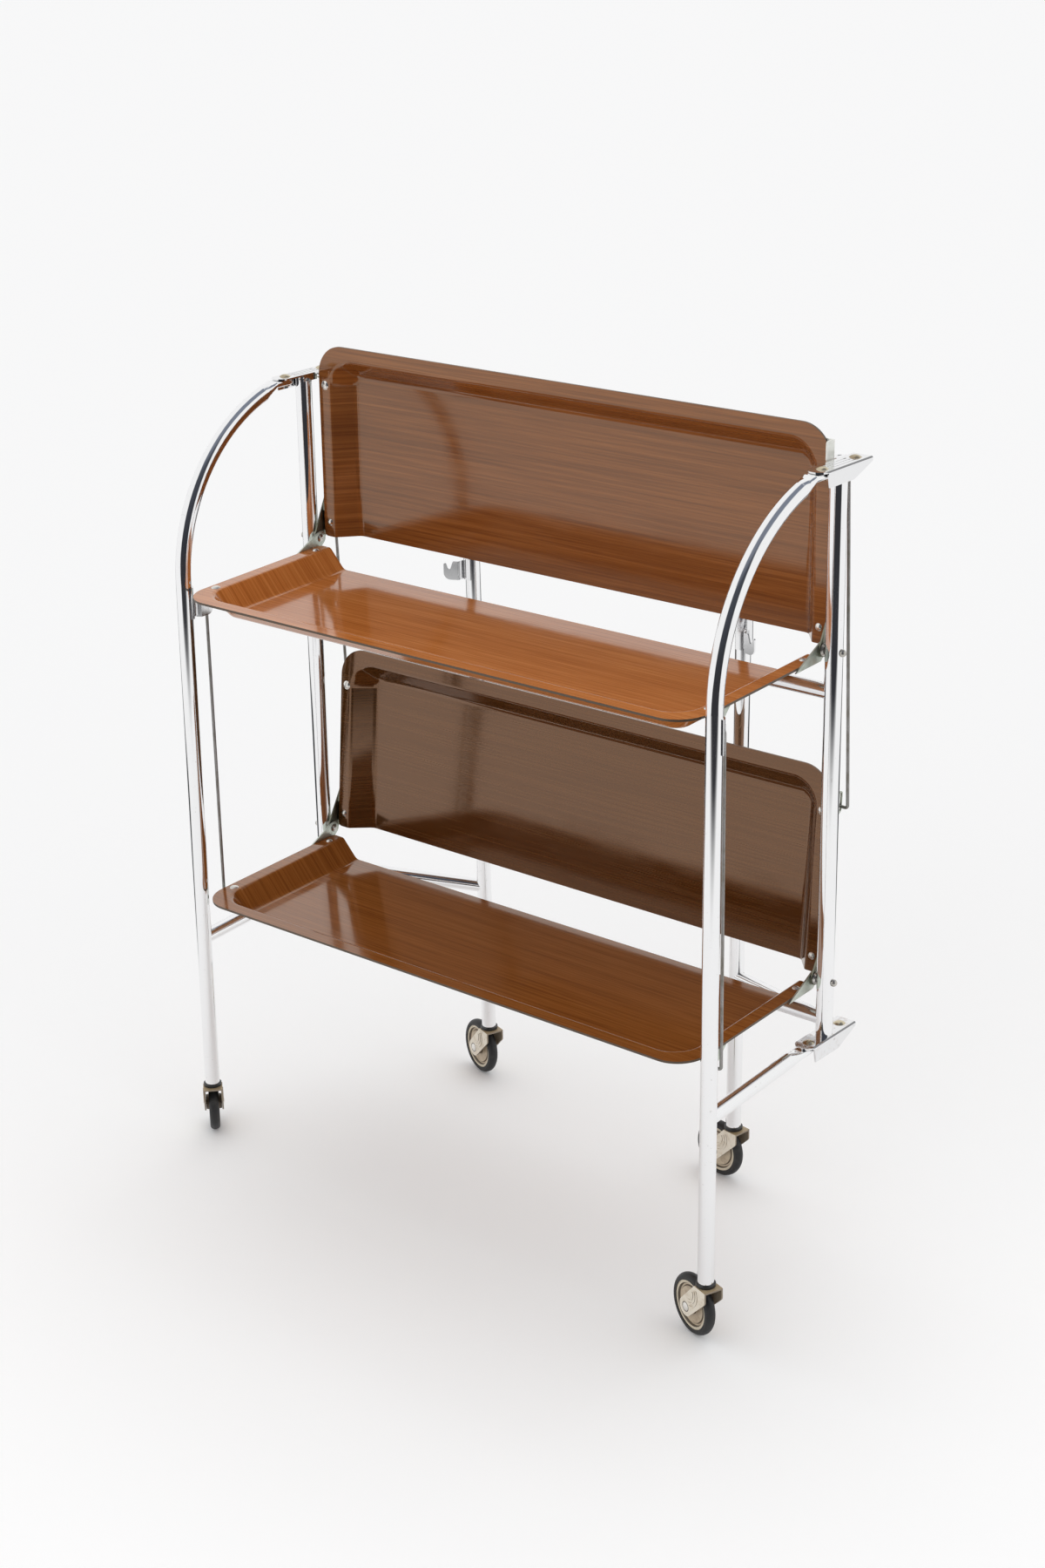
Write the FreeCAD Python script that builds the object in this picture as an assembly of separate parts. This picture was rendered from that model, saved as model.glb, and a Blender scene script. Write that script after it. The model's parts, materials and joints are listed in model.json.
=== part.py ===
"""Folding serving trolley on casters: a centre frame with two folding tiers and four swing legs.

Each tier has a front and a rear leaf, hinged to the posts on one pair of pins. Rods join the upper
leaf to the lower one, so that a pair folds up together, and a hooked strap on each leg carries
them when they are down. Here the front leaves are down on their hooks, and the rear leaves are
folded up with their legs swung in behind them.

Millimetres, +Z up. The origin is on the floor under the middle of the centre frame, X runs along
the leaves and +Y points to the rear. One STEP file is written for each sub-part.
"""
import FreeCAD, Part
import math
import os

VEC = FreeCAD.Vector
X_AXIS = VEC(1, 0, 0)
Y_AXIS = VEC(0, 1, 0)
Z_AXIS = VEC(0, 0, 1)
ORIGIN = VEC(0, 0, 0)

# Fits and gaps
RUN_FIT = 0.05            # radial clearance of a pin in its hole
SIDE_GAP = 0.3            # between pieces that move past each other

# Centre frame
POST_SPACING = 620.0      # between the axes of the two posts
POST_D = 16.0
TUBE_WALL = 1.2
HEAD_ROOM = 12.0          # top of the brackets above the rod pivots of a folded upper leaf
FOOT_DROP = 52.0          # lower hinge line down to the top of the bottom brackets
BRACKET_SHEET = 1.5
BRACKET_WIDTH = 19.6      # across X
BRACKET_NOSE = 14.0       # plate in front of the front pivot
BRACKET_TAIL = 12.0       # plate behind the rear pivot
TOP_FLANGE_DEPTH = 14.5
FOOT_FLANGE_DEPTH = 16.0
FLANGE_END_DEPTH = 4.0    # depth that the flange's slanted tail ends in
FLANGE_START = 9.0        # flange's slanted front edge, from the plate's nose
FLANGE_SLANT = 3.0
LIP_BEYOND = 1.0          # lip and flange beyond the post's wall
LIP_DEPTH = 7.0           # short inner lip beside the post
GROOVE_WIDTH = 1.4        # pressed lines along the top plate
GROOVE_DEPTH = 0.5
GROOVE_PITCH = 4.4
GROOVE_COUNT = 3
CROSSBAR_D = 14.0
BAR_CLEARANCE = 0.8       # between a crossbar and the dish above it

# Leaves, measured from the hinge pin: outwards, and up from the pin's height
LOWER_HINGE_Z = 285.0
TIER_SPACING = 310.0      # between the two hinge lines, and so the length of the rods
LEAF_LENGTH = 593.0
LEAF_REACH = 193.0        # hinge pin to outer edge
LEAF_START = 1.4          # hinge pin to inner edge
LEAF_SHEET = 2.2
RIM_DROP = 7.0            # hinge pin down to the rim's upper face
RIM_WIDTH = 14.0
DISH_DEPTH = 20.0
SLOPE_RUN = 17.0          # width of the sloped wall of the dish
RIM_BEND_R = 5.0
FLOOR_BEND_R = 8.0
RIM_CORNER_R = 30.0
DISH_CORNER_R = 28.0
INNER_CORNER_R = 4.0
FRONT_DROOP = 2.2         # degrees that the lowered leaves slope down
REAR_UPPER_TILT = 89.7    # degrees above level of the folded upper leaf
REAR_LOWER_TILT = 85.0    # degrees above level of the folded lower leaf

# Leaf hinges
HINGE_PIN_D = 5.0
PIN_HEAD_D = 8.0
PIN_HEAD_H = 1.8
PIN_NUB_H = 4.0           # rounded end outside the post
PIN_NUB_LIP = 0.8
EAR_R = 7.0
EAR_SHEET = 1.5
EAR_FOOT = 34.0           # length of the ear's foot along the leaf's end
FOOT_START = 6.0
FOOT_END = 26.0
FOOT_WIDTH = 11.5
EAR_HEEL = 4.0            # how far the ear's blade starts before its foot
WASHER_RIM = 1.0          # ear radius to the cup washer's wide edge
WASHER_FLARE = 1.5
LEAF_RIVET_OUT = 16.0     # hinge pin to the inner rivets
LEAF_RIVET_IN = 7.5       # leaf's end to the rivets
HINGE_RIVET_D = 7.0
LUG_RIVET_D = 9.0
RIVET_SHANK_D = 3.6
RIVET_DOME = 1.7

# Rods and the lugs that hold them
ROD_D = 3.0
ROD_BEND_R = 2.6
ROD_OUT = 153.0           # hinge pin to the rod's pivot
ROD_DROP = 23.5
ROD_HEAD_D = 5.0
ROD_HEAD_H = 0.9
LUG_SHEET = 1.5
LUG_WALL = 1.2            # metal round the rod's hole
LUG_BEFORE = 19.0         # foot of the lug on the hinge side of the rod
LUG_AFTER = 10.0          # foot of the lug on the outer side of the rod
LUG_FOOT_WIDTH = 11.5
LUG_FOOT = 16.0           # length of the riveted foot
LUG_SLOT = 14.0           # play of the rod in the lower lugs
LATCH_LENGTH = 18.0
LATCH_HEIGHT = 8.0
LATCH_WIDTH = 14.0
LATCH_SHEET = 1.2

# Swing legs, measured outwards from the pivot
PIVOT_OFFSET = 25.0       # pivot axis in front of or behind the post
PIVOT_D = 6.0
PIVOT_HEAD_D = 11.0
PIVOT_HEAD_H = 2.2
LEG_D = 15.0
LEG_LEAN = 0.6            # degrees that the leg leans outwards going down
LEG_END_Z = 60.0
ARCH_R = 170.0
FLAT_WIDTH = 15.2
FLAT_THICK = 6.0
FLAT_LENGTH = 17.5        # flat end beyond the pivot, past the bracket's corners
NECK_LENGTH = 14.0        # from the flat end to the round tube
RAIL_D = 14.0
RAIL_DROP = 7.5           # from the pivot to the leg
REAR_LEFT_SWING = 64.0    # degrees swung inwards from straight back
REAR_RIGHT_SWING = 73.0

# Hooked strap on each leg
HOOK_SHEET = 1.5
HOOK_SPAN = 22.2          # leg axis to the rod that rests in the hook
HOOK_BELOW = 12.5         # from the rod's pivot down to the strap's lower edge
BAND_HEIGHT = 31.0        # of the half ring on the leg
HOOK_BEND = 13.0          # leg axis to the bend between the slant and the cheek
HOOK_TIP = 5.5            # beyond the rod's pivot
TIP_RISE = 4.0            # top of the tip above the rod's pivot
NEAR_RISE = 6.5           # top of the cheek on the leg's side of the notch
TIP_ROUND = 7.0           # radius of the cheek's lower corner
NEAR_ROUND = 2.0
NOTCH_ANGLE = 36.0        # degrees, between the notch's flanks
NOTCH_GAP = 0.35          # between the rod and the notch

# Casters
WHEEL_D = 58.0
TYRE_WIDTH = 10.0
TYRE_DEPTH = 6.0
TRAIL = 17.5              # swivel axis to axle
FORK_SHEET = 1.5
FORK_GAP = 3.2            # on each side of the tyre
FORK_NOSE = 12.5
FORK_BACK = 4.0
FORK_CHEEK_R = 9.0
FORK_NOSE_DEPTH = 11.0
FORK_NOSE_ROUND = 5.0
AXLE_D = 5.0
AXLE_HEAD_D = 8.0
AXLE_HEAD_H = 1.4
KINGPIN_D = 6.0
FERRULE_D = 18.0
FERRULE_LIP = 2.7
FERRULE_PLUG = 16.0
HUB_BOSS_D = 15.0
HUB_STEP_D = 34.0
HUB_WEB = 4.0
HUB_STEP_H = 1.0          # raised disc and rim above the web
HUB_CHAMFER = 1.0
HUB_RIM = 3.5             # width of the rim under the tyre
RIM_INSET = 1.0           # rim's face inside the tyre's
TYRE_SHOULDER = 3.1       # height of the rounded tread
RIB_WIDTH = 1.2
RIB_HEIGHT = 0.5
RIB_COUNT = 3
RIB_FIRST_R = 7.0
RIB_PITCH = 3.2
RIB_BACK = 13.0           # centre of the ribs behind the swivel axis
RIB_DROP = 11.0           # and below the plate
RIB_TURN = 150.0          # degrees at which the ribs start, and how far they run
RIB_SPREAD = 115.0
CASTER_AIM = {            # degrees from +X in which each wheel trails
    "front_left": 137.0,
    "front_right": 160.0,
    "rear_left": 160.0,
    "rear_right": 171.0,
}

# Worked out from the above
POST_X = POST_SPACING / 2
POST_R = POST_D / 2
UPPER_HINGE_Z = LOWER_HINGE_Z + TIER_SPACING
TOP_PLATE_Z = UPPER_HINGE_Z + ROD_OUT + HEAD_ROOM     # upper face of the top brackets
FOOT_PLATE_Z = LOWER_HINGE_Z - FOOT_DROP              # upper face of the bottom brackets
LEAF_END = LEAF_LENGTH / 2
RIM_UNDER = -RIM_DROP - LEAF_SHEET
DISH_UNDER = RIM_UNDER - DISH_DEPTH
BAR_DROP = -DISH_UNDER + BAR_CLEARANCE + CROSSBAR_D / 2
BRACKET_IN = POST_X - BRACKET_WIDTH / 2
BRACKET_OUT = POST_X + BRACKET_WIDTH / 2
FRONT_EAR_X = LEAF_END                               # inner face of the front leaves' ears
REAR_EAR_X = FRONT_EAR_X + EAR_SHEET + SIDE_GAP
WASHER_X = REAR_EAR_X + EAR_SHEET + SIDE_GAP
LUG_X = LEAF_END + SIDE_GAP - LUG_SHEET              # inner face of the lugs
LEG_R = LEG_D / 2
ROD_X = POST_X - LEG_R + 2 * SIDE_GAP + ROD_D / 2    # just outside the hooks' cheeks
LEAN = math.radians(LEG_LEAN)
HOOK_Z = (UPPER_HINGE_Z - ROD_OUT * math.sin(math.radians(FRONT_DROOP))
          - ROD_DROP * math.cos(math.radians(FRONT_DROOP)))
HOOK_OUT = (ROD_OUT * math.cos(math.radians(FRONT_DROOP))
            - ROD_DROP * math.sin(math.radians(FRONT_DROOP)) - PIVOT_OFFSET)
LEG_REACH = HOOK_OUT + HOOK_SPAN + (HOOK_Z - LEG_END_Z) * math.tan(LEAN)    # at the leg's lower end
WHEEL_R = WHEEL_D / 2
FORK_TOP_Z = LEG_END_Z - FERRULE_LIP - SIDE_GAP
HUB_R = WHEEL_R - TYRE_DEPTH
CHEEK_N = TYRE_WIDTH / 2 + FORK_GAP                   # caster's middle to the fork's inner face


# ---------------------------------------------------------------- basic shapes

def box(low, high):
    """A block between two corners."""
    size = VEC(*high) - VEC(*low)
    return Part.makeBox(size.x, size.y, size.z, VEC(*low))


def rod_between(start, end, radius):
    """A round bar from one point to another."""
    axis = end - start
    return Part.makeCylinder(radius, axis.Length, start, axis)


def line(start, end):
    return Part.LineSegment(start, end).toShape()


def arc(start, middle, end):
    return Part.Arc(start, middle, end).toShape()


def polygon_face(points):
    return Part.Face(Part.makePolygon(list(points) + [points[0]]))


def dome(radius, height, base, direction):
    """A rivet head: a spherical cap standing on base."""
    ball_r = (radius * radius + height * height) / (2 * height)
    up = VEC(direction).normalize()
    ball = Part.makeSphere(ball_r, base + up * (height - ball_r))
    return ball.common(Part.makeCylinder(radius * 1.01, height, base, up))


def cap_middle(radius, height):
    """The middle of a spherical cap's arc: distance from its axis, and height above its base."""
    ball_r = (radius * radius + height * height) / (2 * height)
    half = math.atan2(radius, ball_r - height) / 2
    return ball_r * math.sin(half), height - ball_r + ball_r * math.cos(half)


def rivet(base, direction, head_r, head_h, shank_r, shank_length):
    """A domed head on base with its shank running the other way, and a flat clenched end."""
    up = VEC(direction).normalize()
    shank = Part.makeCylinder(shank_r, shank_length, base - up * shank_length, up)
    clench_r = (head_r + shank_r) / 2
    clench = Part.makeCylinder(clench_r, head_h / 2, base - up * (shank_length + head_h / 2), up)
    return dome(head_r, head_h, base, up).fuse(shank).fuse(clench).removeSplitter()


def tangent_points(point, radius):
    """Where the two tangents from a point meet a circle about the origin, as (x, y) pairs."""
    bearing = math.atan2(point[1], point[0])
    spread = math.acos(radius / math.hypot(*point))
    return [(radius * math.cos(bearing + side * spread), radius * math.sin(bearing + side * spread))
            for side in (1, -1)]


def lobe_outline(foot_start, foot_end, foot_level, radius):
    """A flat lug about the origin: a round end that widens to a straight foot below it."""
    near = tangent_points((foot_start, foot_level), radius)
    far = tangent_points((foot_end, foot_level), radius)
    first = min(near, key=lambda spot: spot[0])
    last = max(far, key=lambda spot: spot[0])
    return [(foot_start, foot_level), first, last, (foot_end, foot_level)]


def upright_plate(corners, x_low, x_high):
    """A plate across X from (y, z) corners."""
    face = polygon_face([VEC(x_low, y, z) for y, z in corners])
    return face.extrude(VEC(x_high - x_low, 0, 0))


# ---------------------------------------------------------------- centre frame

def post():
    """One upright tube, on the axis X = Y = 0, bored for its two hinge pins."""
    foot = VEC(0, 0, FOOT_PLATE_Z)
    head = VEC(0, 0, TOP_PLATE_Z - BRACKET_SHEET)
    tube = rod_between(foot, head, POST_R).cut(rod_between(foot, head, POST_R - TUBE_WALL))
    for height in (LOWER_HINGE_Z, UPPER_HINGE_Z):
        bore = rod_between(VEC(-POST_D, 0, height), VEC(POST_D, 0, height), HINGE_PIN_D / 2 + RUN_FIT)
        tube = tube.cut(bore)
    return tube


def crossbar(height):
    """A tube between the posts, coped to sit on them."""
    start = VEC(-POST_X, 0, height)
    end = VEC(POST_X, 0, height)
    radius = CROSSBAR_D / 2
    bar = rod_between(start, end, radius).cut(rod_between(start, end, radius - TUBE_WALL))
    for side in (-1, 1):
        foot = VEC(side * POST_X, 0, height - CROSSBAR_D)
        bar = bar.cut(Part.makeCylinder(POST_R, 2 * CROSSBAR_D, foot))
    return bar


def corner_bracket(top_z, flange_depth, lip):
    """A pressed channel over the post: plate, outer flange with a slanted tail, pivot holes.

    It is drawn for the right-hand side, with X measured from the post's axis.
    """
    half = BRACKET_WIDTH / 2
    front = -PIVOT_OFFSET - BRACKET_NOSE
    back = PIVOT_OFFSET + BRACKET_TAIL
    under = top_z - BRACKET_SHEET
    plate = box((-half, front + half, under), (half, back, top_z))
    nose = Part.makeCylinder(half, BRACKET_SHEET, VEC(0, front + half, under))
    flange = upright_plate(
        [(front + FLANGE_START, top_z), (front + FLANGE_START + FLANGE_SLANT, top_z - flange_depth),
         (POST_R + LIP_BEYOND, top_z - flange_depth), (back, top_z - FLANGE_END_DEPTH), (back, top_z)],
        half - BRACKET_SHEET, half)
    bracket = plate.fuse([nose, flange])
    if lip:
        bracket = bracket.fuse(box((-half, -POST_R - LIP_BEYOND, top_z - LIP_DEPTH),
                                   (-half + BRACKET_SHEET, POST_R + LIP_BEYOND, top_z)))
    for side in (-1, 1):
        centre = VEC(0, side * PIVOT_OFFSET, under - 1)
        bracket = bracket.cut(Part.makeCylinder(PIVOT_D / 2 + RUN_FIT, BRACKET_SHEET + 2, centre))
    bracket = bracket.removeSplitter()
    bend = [edge for edge in bracket.Edges
            if abs(edge.CenterOfMass.x - half) < 0.01 and abs(edge.CenterOfMass.z - top_z) < 0.01
            and edge.Length > PIVOT_OFFSET]
    return bracket.makeFillet(BRACKET_SHEET, bend)


def grooved(bracket):
    """The pressed lines that run along the top plate between its rivets."""
    run = PIVOT_OFFSET - PIVOT_HEAD_D / 2 - 2
    for index in range(GROOVE_COUNT):
        across = (index - (GROOVE_COUNT - 1) / 2) * GROOVE_PITCH
        low = (across - GROOVE_WIDTH / 2, -run, TOP_PLATE_Z - GROOVE_DEPTH)
        high = (across + GROOVE_WIDTH / 2, run, TOP_PLATE_Z + 1)
        bracket = bracket.cut(box(low, high))
    return bracket


def pivot_rivets():
    """The eight vertical rivets on which the legs swing."""
    shank = BRACKET_SHEET + SIDE_GAP + FLAT_THICK + SIDE_GAP
    rivets = []
    for side in (-1, 1):
        for depth in (-1, 1):
            for top_z in (TOP_PLATE_Z, FOOT_PLATE_Z):
                base = VEC(side * POST_X, depth * PIVOT_OFFSET, top_z)
                rivets.append(rivet(base, Z_AXIS, PIVOT_HEAD_D / 2, PIVOT_HEAD_H, PIVOT_D / 2, shank))
    return Part.makeCompound(rivets)


def hinge_pin(height):
    """A pin through the post and both leaves' ears, for the right-hand side."""
    start = FRONT_EAR_X - SIDE_GAP
    end = POST_X + POST_R
    shank_r = HINGE_PIN_D / 2
    head_r = PIN_HEAD_D / 2
    nub_r = shank_r + PIN_NUB_LIP
    head_mid_r, head_mid_h = cap_middle(head_r, PIN_HEAD_H)
    nub_mid_r, nub_mid_h = cap_middle(nub_r, PIN_NUB_H)

    def spot(across, out):
        return VEC(across, 0, height + out)

    outline = Part.Wire([
        arc(spot(start - PIN_HEAD_H, 0), spot(start - head_mid_h, head_mid_r), spot(start, head_r)),
        line(spot(start, head_r), spot(start, shank_r)),
        line(spot(start, shank_r), spot(end, shank_r)),
        line(spot(end, shank_r), spot(end, nub_r)),
        arc(spot(end, nub_r), spot(end + nub_mid_h, nub_mid_r), spot(end + PIN_NUB_H, 0)),
        line(spot(end + PIN_NUB_H, 0), spot(start - PIN_HEAD_H, 0))])
    return Part.Face(outline).revolve(spot(0, 0), X_AXIS, 360)


def hinge_washer(height):
    """The cup washer that keeps the ears off the post, for the right-hand side."""
    start = VEC(WASHER_X, 0, height)
    end = VEC(POST_X - POST_R, 0, height)
    wide = EAR_R - WASHER_RIM
    cup = Part.makeCone(wide, wide - WASHER_FLARE, (end - start).Length, start, X_AXIS)
    return cup.cut(rod_between(start, end, HINGE_PIN_D / 2 + RUN_FIT))


# ---------------------------------------------------------------- leaves
# A leaf is drawn lying level: X along it, +Y outwards from the hinge pin, Z up from the pin.

def dish_outline(grow, level):
    """Outline of the dish, open towards the hinge; grow moves it outwards from the dish's edge."""
    half = LEAF_END - RIM_WIDTH + grow
    reach = LEAF_REACH - RIM_WIDTH + grow
    radius = DISH_CORNER_R + grow
    chord = radius * (1 - math.sqrt(0.5))
    start = -DISH_CORNER_R
    left_low = VEC(-half, start, level)
    left_high = VEC(-half, reach - radius, level)
    left_top = VEC(-half + radius, reach, level)
    right_top = VEC(half - radius, reach, level)
    right_high = VEC(half, reach - radius, level)
    right_low = VEC(half, start, level)
    return [line(left_low, left_high),
            arc(left_high, VEC(-half + chord, reach - chord, level), left_top),
            line(left_top, right_top),
            arc(right_top, VEC(half - chord, reach - chord, level), right_high),
            line(right_high, right_low)], (right_low, left_low)


def dish_plate(grow, low, high):
    """A flat plate in the dish's outline."""
    edges, ends = dish_outline(grow, low)
    return Part.Face(Part.Wire(edges + [line(*ends)])).extrude(VEC(0, 0, high - low))


def wall_section():
    """Section of the sloped wall, with its two bends, at the open end of the dish's left side.

    Returns the section and how far it reaches outwards and inwards from the dish's edge.
    """
    slope = math.atan2(DISH_DEPTH, SLOPE_RUN)
    rim_cut = RIM_BEND_R * math.tan(slope / 2)
    floor_cut = FLOOR_BEND_R * math.tan(slope / 2)
    outer = rim_cut + 1
    inner = SLOPE_RUN + floor_cut + 1
    rim_centre = (rim_cut, -RIM_DROP - RIM_BEND_R)
    floor_centre = (-SLOPE_RUN - floor_cut, -RIM_DROP - DISH_DEPTH + FLOOR_BEND_R)

    def spot(out, up):
        return VEC(-(LEAF_END - RIM_WIDTH) - out, -DISH_CORNER_R, up)

    def on_bend(centre, radius, angle, sign):
        return spot(centre[0] - sign * radius * math.sin(angle), centre[1] + sign * radius * math.cos(angle))

    def side(rim_r, floor_r, level):
        return [spot(outer, level),
                on_bend(rim_centre, rim_r, 0, 1),
                on_bend(rim_centre, rim_r, slope / 2, 1),
                on_bend(rim_centre, rim_r, slope, 1),
                on_bend(floor_centre, floor_r, slope, -1),
                on_bend(floor_centre, floor_r, slope / 2, -1),
                on_bend(floor_centre, floor_r, 0, -1),
                spot(-inner, level - DISH_DEPTH)]

    top = side(RIM_BEND_R, FLOOR_BEND_R, -RIM_DROP)
    under = side(RIM_BEND_R - LEAF_SHEET, FLOOR_BEND_R + LEAF_SHEET, RIM_UNDER)
    edges = []
    for path in (top, under):
        edges += [line(path[0], path[1]), arc(*path[1:4]), line(path[3], path[4]),
                  arc(*path[4:7]), line(path[6], path[7])]
    edges += [line(top[0], under[0]), line(top[-1], under[-1])]
    return Part.Wire(Part.__sortEdges__(edges)), outer, inner


def leaf_panel():
    """The pressed tray: flat rim on three sides, sloped walls, level floor, open at the hinge."""
    section, outer, inner = wall_section()
    path, _ = dish_outline(0, -RIM_DROP)
    wall = Part.Wire(path).makePipeShell([section], True, False)
    rim = box((-LEAF_END, LEAF_START, RIM_UNDER), (LEAF_END, LEAF_REACH, -RIM_DROP))
    corners = [edge for edge in rim.Edges
               if abs(edge.Length - LEAF_SHEET) < 0.01 and edge.CenterOfMass.y > LEAF_REACH / 2]
    rim = rim.makeFillet(RIM_CORNER_R, corners)
    heels = [edge for edge in rim.Edges
             if abs(edge.Length - LEAF_SHEET) < 0.01 and edge.CenterOfMass.y < LEAF_START + 0.01]
    rim = rim.makeFillet(INNER_CORNER_R, heels)
    rim = rim.cut(dish_plate(outer, RIM_UNDER - 1, -RIM_DROP + 1))
    floor = dish_plate(-inner, DISH_UNDER, DISH_UNDER + LEAF_SHEET)
    panel = rim.fuse([wall, floor])
    keep = box((-LEAF_LENGTH, LEAF_START, DISH_UNDER - 1), (LEAF_LENGTH, 2 * LEAF_REACH, 1))
    panel = panel.common(keep).removeSplitter()
    for side in (-1, 1):
        for out in (LEAF_RIVET_OUT, ROD_OUT):
            base = VEC(side * (LEAF_END - LEAF_RIVET_IN), out, RIM_UNDER - 1)
            panel = panel.cut(Part.makeCylinder(RIVET_SHANK_D / 2, LEAF_SHEET + 2, base))
    return panel


def leaf_rivets():
    """Two rivets for the hinge brackets and two for the rod lugs."""
    shank = LEAF_SHEET + EAR_SHEET
    rivets = []
    for side in (-1, 1):
        for out, head_d in ((LEAF_RIVET_OUT, HINGE_RIVET_D), (ROD_OUT, LUG_RIVET_D)):
            base = VEC(side * (LEAF_END - LEAF_RIVET_IN), out, -RIM_DROP)
            rivets.append(rivet(base, Z_AXIS, head_d / 2, RIVET_DOME, RIVET_SHANK_D / 2, shank))
    return Part.makeCompound(rivets)


def hinge_bracket(ear_x):
    """An angle under the rim whose ear rises past the leaf's end to the pin, right-hand side."""
    foot_level = RIM_UNDER - EAR_SHEET
    corners = lobe_outline(FOOT_START - EAR_HEEL, FOOT_START + EAR_FOOT, foot_level, EAR_R)
    ear = upright_plate(corners, ear_x, ear_x + EAR_SHEET)
    ear = ear.fuse(rod_between(VEC(ear_x, 0, 0), VEC(ear_x + EAR_SHEET, 0, 0), EAR_R))
    foot = box((LEAF_END - FOOT_WIDTH, FOOT_START, foot_level),
               (ear_x + EAR_SHEET, FOOT_END, RIM_UNDER))
    bracket = ear.fuse(foot)
    bore = rod_between(VEC(ear_x - 1, 0, 0), VEC(ear_x + EAR_SHEET + 1, 0, 0), HINGE_PIN_D / 2 + RUN_FIT)
    hole_base = VEC(LEAF_END - LEAF_RIVET_IN, LEAF_RIVET_OUT, foot_level - 1)
    hole = Part.makeCylinder(RIVET_SHANK_D / 2, EAR_SHEET + 2, hole_base)
    return bracket.cut([bore, hole]).removeSplitter()


def rod_lug(slot):
    """An angle under the rim that holds a rod's bent end, right-hand side; slot lengthens its hole."""
    foot_level = RIM_UNDER - LUG_SHEET
    radius = ROD_D / 2 + RUN_FIT + LUG_WALL
    corners = lobe_outline(-LUG_BEFORE, LUG_AFTER, ROD_DROP + RIM_UNDER, radius)
    corners = [(y + ROD_OUT, z - ROD_DROP) for y, z in corners]
    if slot:
        corners.insert(3, (ROD_OUT + slot + radius, -ROD_DROP))
    blade = upright_plate(corners, LUG_X, LUG_X + LUG_SHEET)
    hole_r = ROD_D / 2 + RUN_FIT
    holes = []
    for shift in (0, slot):
        centre = VEC(LUG_X, ROD_OUT + shift, -ROD_DROP)
        end = centre + X_AXIS * LUG_SHEET
        blade = blade.fuse(rod_between(centre, end, radius))
        holes.append(rod_between(centre - X_AXIS, end + X_AXIS, hole_r))
    if slot:
        blade = blade.fuse(box((LUG_X, ROD_OUT, -ROD_DROP - radius),
                               (LUG_X + LUG_SHEET, ROD_OUT + slot, -ROD_DROP + radius)))
        holes.append(box((LUG_X - 1, ROD_OUT, -ROD_DROP - hole_r),
                         (LUG_X + LUG_SHEET + 1, ROD_OUT + slot, -ROD_DROP + hole_r)))
    foot = box((LEAF_END - LUG_FOOT_WIDTH, ROD_OUT - LUG_FOOT / 2, foot_level),
               (LUG_X + LUG_SHEET, ROD_OUT + LUG_FOOT / 2, RIM_UNDER))
    rivet_base = VEC(LEAF_END - LEAF_RIVET_IN, ROD_OUT, foot_level - 1)
    holes.append(Part.makeCylinder(RIVET_SHANK_D / 2, LUG_SHEET + 2, rivet_base))
    return blade.fuse(foot).cut(holes).removeSplitter()


def latch_tab():
    """The springy tab by the outer right corner that keeps a folded pair together."""
    start = ROD_OUT + LUG_AFTER + SIDE_GAP
    end = start + LATCH_LENGTH
    top = -RIM_DROP + LATCH_HEIGHT
    blade = box((LEAF_END + SIDE_GAP, start, RIM_UNDER - LATCH_SHEET),
                (LEAF_END + SIDE_GAP + LATCH_SHEET, end, top))
    tips = [edge for edge in blade.Edges
            if abs(edge.Length - LATCH_SHEET) < 0.01 and edge.CenterOfMass.z > 0]
    blade = blade.makeFillet(LATCH_HEIGHT / 3, tips)
    foot = box((LEAF_END - LATCH_WIDTH, start, RIM_UNDER - LATCH_SHEET),
               (LEAF_END + SIDE_GAP + LATCH_SHEET, end, RIM_UNDER))
    return blade.fuse(foot).removeSplitter()


def connecting_rod():
    """A wire from the upper lug's hole to the lower one's, cranked inwards at both ends.

    It hangs from (0, 0) at its upper pivot, right-hand side, with X measured from the middle.
    """
    radius = ROD_D / 2
    turn = ROD_BEND_R
    inner = LUG_X - SIDE_GAP
    low = -TIER_SPACING
    slack = turn * (1 - math.sqrt(0.5))
    path = Part.Wire([
        line(VEC(inner, 0, 0), VEC(ROD_X - turn, 0, 0)),
        arc(VEC(ROD_X - turn, 0, 0), VEC(ROD_X - slack, 0, -slack), VEC(ROD_X, 0, -turn)),
        line(VEC(ROD_X, 0, -turn), VEC(ROD_X, 0, low + turn)),
        arc(VEC(ROD_X, 0, low + turn), VEC(ROD_X - slack, 0, low + slack), VEC(ROD_X - turn, 0, low)),
        line(VEC(ROD_X - turn, 0, low), VEC(inner, 0, low))])
    start = Part.Wire(Part.Circle(VEC(inner, 0, 0), X_AXIS, radius).toShape())
    wire = path.makePipeShell([start], True, False)
    for height in (0, low):
        head = Part.makeCylinder(ROD_HEAD_D / 2, ROD_HEAD_H, VEC(inner - ROD_HEAD_H, 0, height), X_AXIS)
        wire = wire.fuse(head)
    return wire.removeSplitter()


# ---------------------------------------------------------------- swing legs
# A leg is drawn swung straight back from a pivot at the origin: +Y outwards, +X to the inside.

def stadium_wire(out, level):
    """Section of a flattened tube across Y."""
    high = FLAT_THICK / 2
    flat = FLAT_WIDTH / 2 - high
    spots = [VEC(flat, out, level + high), VEC(-flat, out, level + high),
             VEC(-flat, out, level - high), VEC(flat, out, level - high)]
    return Part.Wire([line(spots[0], spots[1]),
                      arc(spots[1], VEC(-flat - high, out, level), spots[2]),
                      line(spots[2], spots[3]),
                      arc(spots[3], VEC(flat + high, out, level), spots[0])])


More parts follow.
